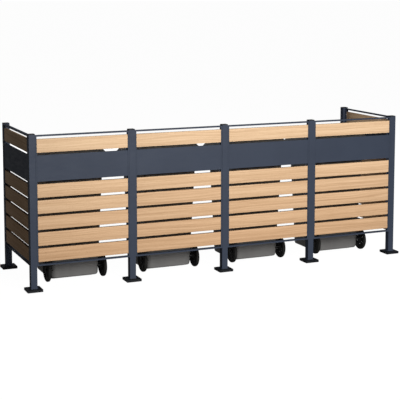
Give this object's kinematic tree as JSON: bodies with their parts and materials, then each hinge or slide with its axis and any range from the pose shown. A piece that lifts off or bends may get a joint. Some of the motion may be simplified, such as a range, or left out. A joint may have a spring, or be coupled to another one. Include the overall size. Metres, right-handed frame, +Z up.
{
  "type": "recycling bin station",
  "caption": "Slatted timber and steel screen, open at the rear, standing around a row of lidded two-wheeled bins that roll out.",
  "frame": {"origin": "on the ground, at the middle of the station's outline", "axes": "+Z up, +X along the slatted front towards its right end as seen from in front, +Y away from the slatted front towards the open side"},
  "size_m": [3.32, 0.92, 1.212],
  "materials": {
    "steel": "fine-textured anthracite powder coat",
    "cap": "satin black moulding",
    "timber": "planed light oak, clear matt oil",
    "bin_body": "fine-grained moulded polyethylene",
    "bin_lid": "fine-grained moulded polyethylene",
    "wheel": "matt solid rubber tyre on a black centre",
    "zinc": "bright zinc",
    "axle": "black-coated round bar"
  },
  "bodies": {
    "screen": {"post_front_1": "steel", "cap_front_1": "cap", "post_front_2": "steel", "cap_front_2": "cap", "post_front_3": "steel", "cap_front_3": "cap", "post_front_4": "steel", "cap_front_4": "cap", "post_front_5": "steel", "cap_front_5": "cap", "post_rear_left": "steel", "cap_rear_left": "cap", "post_rear_right": "steel", "cap_rear_right": "cap", "frame_front_1": "steel", "band_front_1": "steel", "slats_front_1": "timber", "frame_front_2": "steel", "band_front_2": "steel", "slats_front_2": "timber", "frame_front_3": "steel", "band_front_3": "steel", "slats_front_3": "timber", "frame_front_4": "steel", "band_front_4": "steel", "slats_front_4": "timber", "frame_left": "steel", "band_left": "steel", "slats_left": "timber", "frame_right": "steel", "band_right": "steel", "slats_right": "timber"},
    "bin_1": {"bin_1_body": "bin_body", "bin_1_axle": "axle", "bin_1_hinge_rod": "zinc"},
    "bin_1_lid": {"bin_1_lid": "bin_lid"},
    "bin_1_wheel_left": {"bin_1_wheel_left": "wheel"},
    "bin_1_wheel_right": {"bin_1_wheel_right": "wheel"},
    "bin_2": {"bin_2_body": "bin_body", "bin_2_axle": "axle", "bin_2_hinge_rod": "zinc"},
    "bin_2_lid": {"bin_2_lid": "bin_lid"},
    "bin_2_wheel_left": {"bin_2_wheel_left": "wheel"},
    "bin_2_wheel_right": {"bin_2_wheel_right": "wheel"},
    "bin_3": {"bin_3_body": "bin_body", "bin_3_axle": "axle", "bin_3_hinge_rod": "zinc"},
    "bin_3_lid": {"bin_3_lid": "bin_lid"},
    "bin_3_wheel_left": {"bin_3_wheel_left": "wheel"},
    "bin_3_wheel_right": {"bin_3_wheel_right": "wheel"},
    "bin_4": {"bin_4_body": "bin_body", "bin_4_axle": "axle", "bin_4_hinge_rod": "zinc"},
    "bin_4_lid": {"bin_4_lid": "bin_lid"},
    "bin_4_wheel_left": {"bin_4_wheel_left": "wheel"},
    "bin_4_wheel_right": {"bin_4_wheel_right": "wheel"}
  },
  "joints": [
    {"name": "bin_1_roll_out", "type": "slide", "parent": "screen", "child": "bin_1", "axis": [0, 1, 0], "range_m": [0, 0.9]},
    {"name": "bin_1_lid_hinge", "type": "hinge", "parent": "bin_1", "child": "bin_1_lid", "pos_m": [-1.2, -0.288, 1.016], "axis": [1, 0, 0], "range_deg": [0, 105]},
    {"name": "bin_1_wheel_left_spin", "type": "hinge", "parent": "bin_1", "child": "bin_1_wheel_left", "pos_m": [-1.429, -0.171, 0.093], "axis": [1, 0, 0], "continuous": true},
    {"name": "bin_1_wheel_right_spin", "type": "hinge", "parent": "bin_1", "child": "bin_1_wheel_right", "pos_m": [-0.971, -0.171, 0.093], "axis": [1, 0, 0], "continuous": true},
    {"name": "bin_2_roll_out", "type": "slide", "parent": "screen", "child": "bin_2", "axis": [0, 1, 0], "range_m": [0, 0.9]},
    {"name": "bin_2_lid_hinge", "type": "hinge", "parent": "bin_2", "child": "bin_2_lid", "pos_m": [-0.3966, -0.288, 1.016], "axis": [1, 0, 0], "range_deg": [0, 105]},
    {"name": "bin_2_wheel_left_spin", "type": "hinge", "parent": "bin_2", "child": "bin_2_wheel_left", "pos_m": [-0.6256, -0.171, 0.093], "axis": [1, 0, 0], "continuous": true},
    {"name": "bin_2_wheel_right_spin", "type": "hinge", "parent": "bin_2", "child": "bin_2_wheel_right", "pos_m": [-0.1676, -0.171, 0.093], "axis": [1, 0, 0], "continuous": true},
    {"name": "bin_3_roll_out", "type": "slide", "parent": "screen", "child": "bin_3", "axis": [0, 1, 0], "range_m": [0, 0.9]},
    {"name": "bin_3_lid_hinge", "type": "hinge", "parent": "bin_3", "child": "bin_3_lid", "pos_m": [0.4068, -0.288, 1.016], "axis": [1, 0, 0], "range_deg": [0, 105]},
    {"name": "bin_3_wheel_left_spin", "type": "hinge", "parent": "bin_3", "child": "bin_3_wheel_left", "pos_m": [0.1778, -0.171, 0.093], "axis": [1, 0, 0], "continuous": true},
    {"name": "bin_3_wheel_right_spin", "type": "hinge", "parent": "bin_3", "child": "bin_3_wheel_right", "pos_m": [0.6358, -0.171, 0.093], "axis": [1, 0, 0], "continuous": true},
    {"name": "bin_4_roll_out", "type": "slide", "parent": "screen", "child": "bin_4", "axis": [0, 1, 0], "range_m": [0, 0.9]},
    {"name": "bin_4_lid_hinge", "type": "hinge", "parent": "bin_4", "child": "bin_4_lid", "pos_m": [1.2102, -0.288, 1.016], "axis": [1, 0, 0], "range_deg": [0, 105]},
    {"name": "bin_4_wheel_left_spin", "type": "hinge", "parent": "bin_4", "child": "bin_4_wheel_left", "pos_m": [0.9812, -0.171, 0.093], "axis": [1, 0, 0], "continuous": true},
    {"name": "bin_4_wheel_right_spin", "type": "hinge", "parent": "bin_4", "child": "bin_4_wheel_right", "pos_m": [1.4392, -0.171, 0.093], "axis": [1, 0, 0], "continuous": true}
  ],
  "couplings": [
    {"joint": "bin_1_wheel_left_spin", "follows": "bin_1_roll_out", "rad_per_m": -10.753},
    {"joint": "bin_1_wheel_right_spin", "follows": "bin_1_roll_out", "rad_per_m": -10.753},
    {"joint": "bin_2_wheel_left_spin", "follows": "bin_2_roll_out", "rad_per_m": -10.753},
    {"joint": "bin_2_wheel_right_spin", "follows": "bin_2_roll_out", "rad_per_m": -10.753},
    {"joint": "bin_3_wheel_left_spin", "follows": "bin_3_roll_out", "rad_per_m": -10.753},
    {"joint": "bin_3_wheel_right_spin", "follows": "bin_3_roll_out", "rad_per_m": -10.753},
    {"joint": "bin_4_wheel_left_spin", "follows": "bin_4_roll_out", "rad_per_m": -10.753},
    {"joint": "bin_4_wheel_right_spin", "follows": "bin_4_roll_out", "rad_per_m": -10.753}
  ]
}
